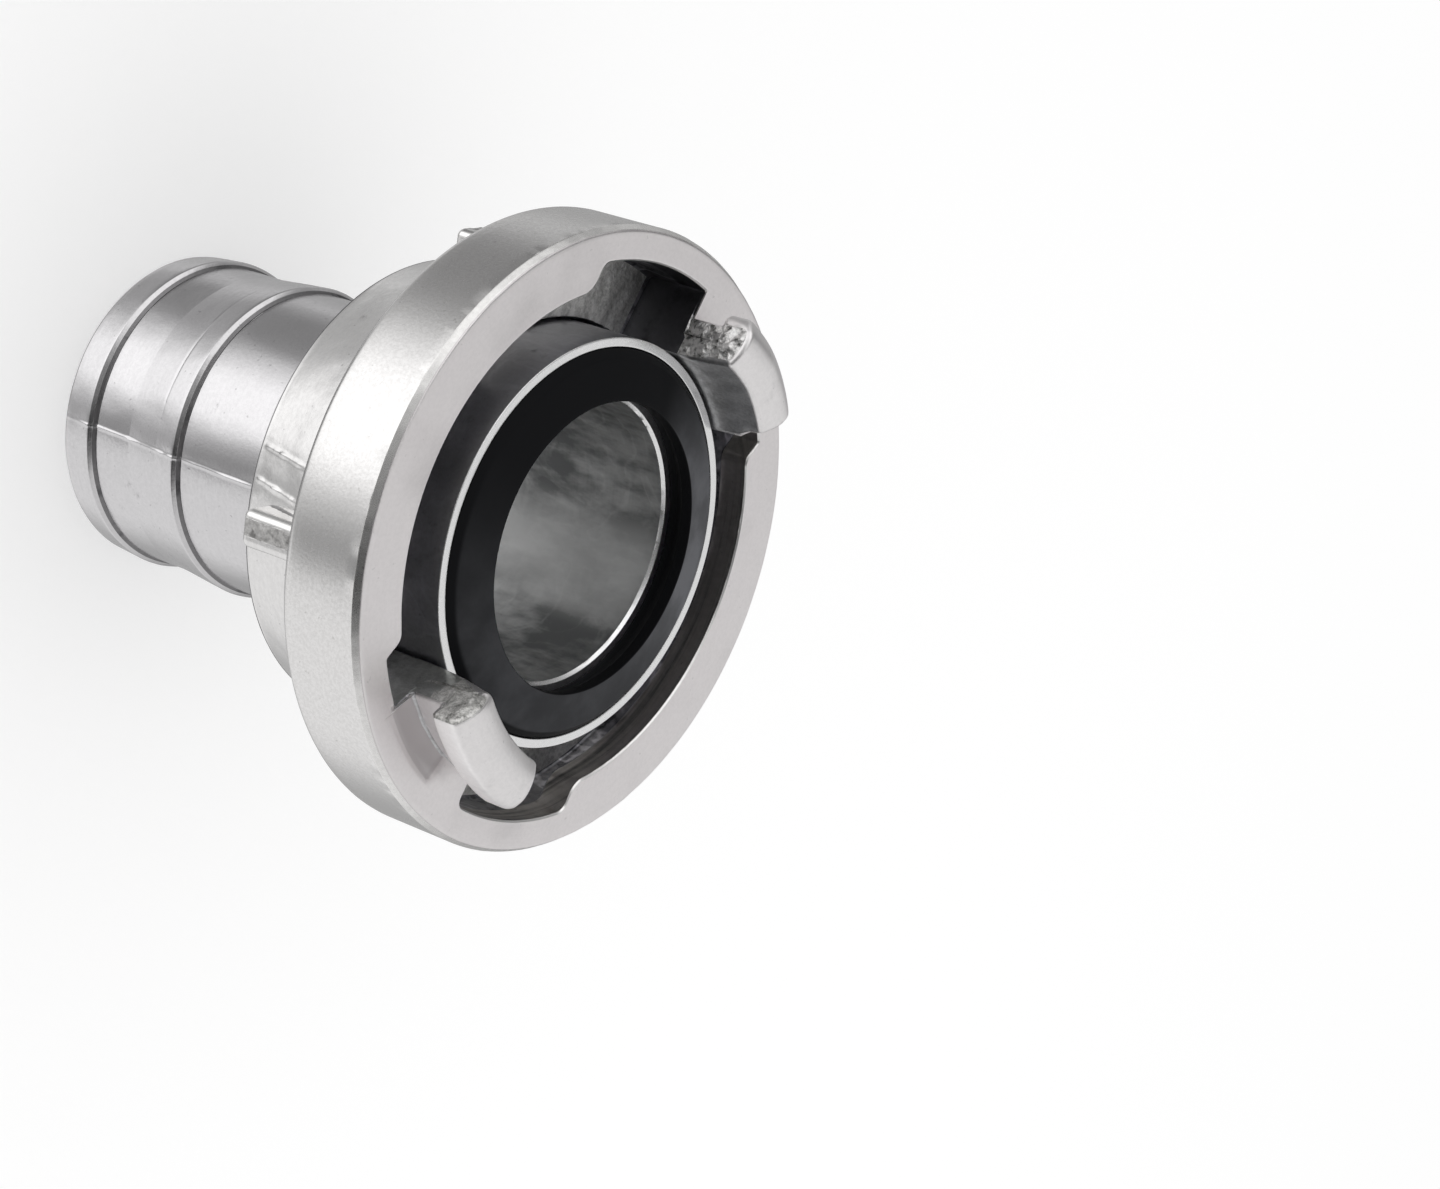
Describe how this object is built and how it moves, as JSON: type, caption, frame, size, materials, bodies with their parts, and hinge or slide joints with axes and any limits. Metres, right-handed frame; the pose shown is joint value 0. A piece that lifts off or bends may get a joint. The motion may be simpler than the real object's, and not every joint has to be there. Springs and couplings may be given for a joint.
{
  "type": "quarter turn fire hose coupling",
  "caption": "Two-claw bayonet fire hose coupling: a turning lug ring on a barbed hose tail, with a rubber pressure seal.",
  "frame": {"origin": "centre of the hose tail's end face, on the waterway's axis", "axes": "+Z along the waterway, from the hose end towards the coupling face; the claws lie on the X axis"},
  "size_m": [0.0992, 0.0992, 0.1002],
  "materials": {
    "cast_aluminium_tail": "cast and turned, satin",
    "cast_aluminium_ring": "cast and turned, satin",
    "black_rubber": "matt moulded",
    "spring_steel": "drawn wire"
  },
  "bodies": {
    "tail": {"hose_tail": "cast_aluminium_tail", "seal": "black_rubber", "lock_ring": "spring_steel"},
    "ring": {"lug_ring": "cast_aluminium_ring"}
  },
  "joints": [
    {"name": "ring_turn", "type": "hinge", "parent": "tail", "child": "ring", "pos_m": [0, 0, 0.0625], "axis": [0, 0, 1], "continuous": true}
  ]
}
